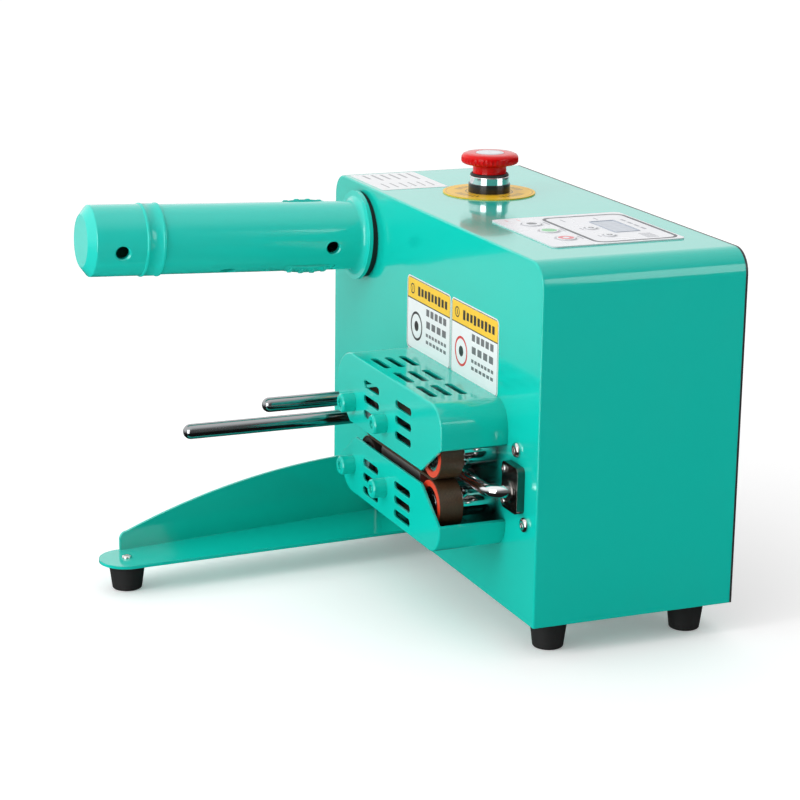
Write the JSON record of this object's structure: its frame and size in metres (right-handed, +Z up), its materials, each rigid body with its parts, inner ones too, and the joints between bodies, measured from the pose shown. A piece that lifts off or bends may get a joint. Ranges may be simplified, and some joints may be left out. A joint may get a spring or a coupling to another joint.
{
  "type": "air cushion film machine",
  "caption": "Benchtop machine that inflates folded packing film and seals it between driven belts, with a roll arm, guide rods and a side leg.",
  "frame": {"origin": "centre of the bounding box in X and Y, at the floor under the rubber feet", "axes": "+Z up, -Y towards the operator and the free end of the roll arm, +X to the operator's right, along the film's travel"},
  "size_m": [0.336, 0.348, 0.2697],
  "materials": {
    "turquoise_paint": "gloss",
    "turquoise_plastic": "semi-gloss",
    "dark_panel": "satin",
    "black_rubber": "matt",
    "zinc_steel": "satin",
    "screw_steel": "bright",
    "chrome": "polished",
    "bearing_steel": "polished",
    "ptfe_belt": "smooth coated glass cloth",
    "orange_silicone": "matt",
    "hub_aluminium": "turned",
    "heater_aluminium": "milled",
    "spring_steel": "satin",
    "gear_brass": "machined",
    "motor_can": "satin",
    "red_plastic": "gloss",
    "black_plastic": "satin",
    "yellow_plate": "gloss",
    "panel_film": "satin",
    "green_key": "satin",
    "red_key": "satin",
    "grey_key": "satin",
    "circuit_board": "satin",
    "hose_clear": "soft"
  },
  "bodies": {
    "root": {"housing_shell": "turquoise_paint", "back_panel": "dark_panel", "base_plate": "turquoise_paint", "rubber_feet": "black_rubber", "base_screws": "screw_steel", "support_leg": "turquoise_paint", "drive_frame": "zinc_steel", "front_screws": "screw_steel", "back_screws": "screw_steel", "arm_spindle": "zinc_steel", "arm_seat_ring": "black_rubber", "ball_bearings": "bearing_steel", "guide_rod_long": "chrome", "guide_rod_short": "chrome", "upper_cover": "turquoise_paint", "lower_cover": "turquoise_paint", "cover_studs": "zinc_steel", "cover_cap_nuts": "turquoise_paint", "upper_belt": "ptfe_belt", "lower_belt": "ptfe_belt", "drive_sleeves": "chrome", "idler_axles": "zinc_steel", "heater_block_lower": "heater_aluminium", "heater_spring": "spring_steel", "air_nozzle": "chrome", "nozzle_block": "zinc_steel", "gearmotor": "motor_can", "estop_legend": "yellow_plate", "estop_bezel": "black_plastic", "estop_collar": "chrome", "estop_contacts": "black_plastic", "keypad_overlay": "panel_film", "control_board": "circuit_board", "power_inlet": "black_plastic", "power_supply": "zinc_steel", "air_pump": "black_plastic", "air_hose": "hose_clear"},
    "roll_arm": {"arm_tube": "turquoise_plastic", "arm_end_cap": "turquoise_plastic", "grip_spring": "spring_steel"},
    "lower_grip": {"core_grip_lower": "turquoise_plastic"},
    "upper_grip": {"core_grip_upper": "turquoise_plastic"},
    "upper_drive": {"drive_shaft_upper": "hub_aluminium", "drive_roller_upper": "orange_silicone", "shaft_gear_upper": "gear_brass"},
    "lower_drive": {"drive_shaft_lower": "hub_aluminium", "drive_roller_lower": "orange_silicone", "shaft_gear_lower": "gear_brass"},
    "upper_idler": {"idler_roller_upper": "orange_silicone"},
    "lower_idler": {"idler_roller_lower": "orange_silicone"},
    "motor_output": {"motor_pinion": "bearing_steel"},
    "upper_heater": {"heater_block_upper": "heater_aluminium"},
    "estop_plunger": {"estop_stem": "black_plastic"},
    "estop_knob": {"estop_head": "red_plastic"},
    "mode_button": {"mode_key": "grey_key"},
    "start_button": {"start_key": "green_key"},
    "stop_button": {"stop_key": "red_key"},
    "less_button": {"less_key": "grey_key"},
    "more_button": {"more_key": "grey_key"},
    "power_switch": {"power_rocker": "black_plastic"}
  },
  "joints": [
    {"name": "arm_spin", "type": "hinge", "parent": "root", "child": "roll_arm", "pos_m": [-0.116, 0.035, 0.2075], "axis": [0, -0.9992, 0.0401], "continuous": true},
    {"name": "lower_grip_press", "type": "slide", "parent": "roll_arm", "child": "lower_grip", "axis": [-0.4384, 0.0361, 0.8981], "range_m": [0, 0.002], "stiffness_N_per_m": 900, "deforming": ["grip_spring"]},
    {"name": "upper_grip_press", "type": "slide", "parent": "roll_arm", "child": "upper_grip", "axis": [0.4384, -0.0361, -0.8981], "range_m": [0, 0.002], "stiffness_N_per_m": 900, "deforming": ["grip_spring"]},
    {"name": "lower_drive_spin", "type": "hinge", "parent": "root", "child": "lower_drive", "pos_m": [0.102, 0.005, 0.08325], "axis": [0, -1, 0], "continuous": true},
    {"name": "upper_drive_spin", "type": "hinge", "parent": "root", "child": "upper_drive", "pos_m": [0.102, 0.005, 0.11525], "axis": [0, -1, 0], "continuous": true},
    {"name": "lower_idler_spin", "type": "hinge", "parent": "root", "child": "lower_idler", "pos_m": [0.00085, 0.005, 0.08325], "axis": [0, -1, 0], "continuous": true},
    {"name": "upper_idler_spin", "type": "hinge", "parent": "root", "child": "upper_idler", "pos_m": [0.00085, 0.005, 0.11525], "axis": [0, -1, 0], "continuous": true},
    {"name": "motor_spin", "type": "hinge", "parent": "root", "child": "motor_output", "pos_m": [0.078, 0.005, 0.08325], "axis": [0, -1, 0], "continuous": true},
    {"name": "heater_lift", "type": "slide", "parent": "root", "child": "upper_heater", "axis": [0, 0, 1], "range_m": [0, 0.0015], "stiffness_N_per_m": 2500, "deforming": ["heater_spring"]},
    {"name": "estop_press", "type": "slide", "parent": "root", "child": "estop_plunger", "axis": [0, 0, -1], "range_m": [0, 0.0045], "stiffness_N_per_m": 1500},
    {"name": "estop_twist", "type": "hinge", "parent": "estop_plunger", "child": "estop_knob", "pos_m": [-0.06, 0.104, 0.26], "axis": [0, 0, 1], "range_deg": [-35, 0], "stiffness_Nm_per_rad": 0.08},
    {"name": "mode_press", "type": "slide", "parent": "root", "child": "mode_button", "axis": [0, 0, -1], "range_m": [0, 0.0004], "stiffness_N_per_m": 900},
    {"name": "start_press", "type": "slide", "parent": "root", "child": "start_button", "axis": [0, 0, -1], "range_m": [0, 0.0004], "stiffness_N_per_m": 900},
    {"name": "stop_press", "type": "slide", "parent": "root", "child": "stop_button", "axis": [0, 0, -1], "range_m": [0, 0.0004], "stiffness_N_per_m": 900},
    {"name": "less_press", "type": "slide", "parent": "root", "child": "less_button", "axis": [0, 0, -1], "range_m": [0, 0.0004], "stiffness_N_per_m": 900},
    {"name": "more_press", "type": "slide", "parent": "root", "child": "more_button", "axis": [0, 0, -1], "range_m": [0, 0.0004], "stiffness_N_per_m": 900},
    {"name": "power_rock", "type": "hinge", "parent": "root", "child": "power_switch", "pos_m": [0.11, 0.1608, 0.097], "axis": [1, 0, 0], "range_deg": [0, 18]}
  ],
  "couplings": [
    {"joint": "upper_drive_spin", "follows": "lower_drive_spin", "ratio": -1},
    {"joint": "motor_spin", "follows": "lower_drive_spin", "ratio": -2},
    {"joint": "lower_idler_spin", "follows": "lower_drive_spin", "ratio": 1},
    {"joint": "upper_idler_spin", "follows": "lower_drive_spin", "ratio": -1}
  ]
}
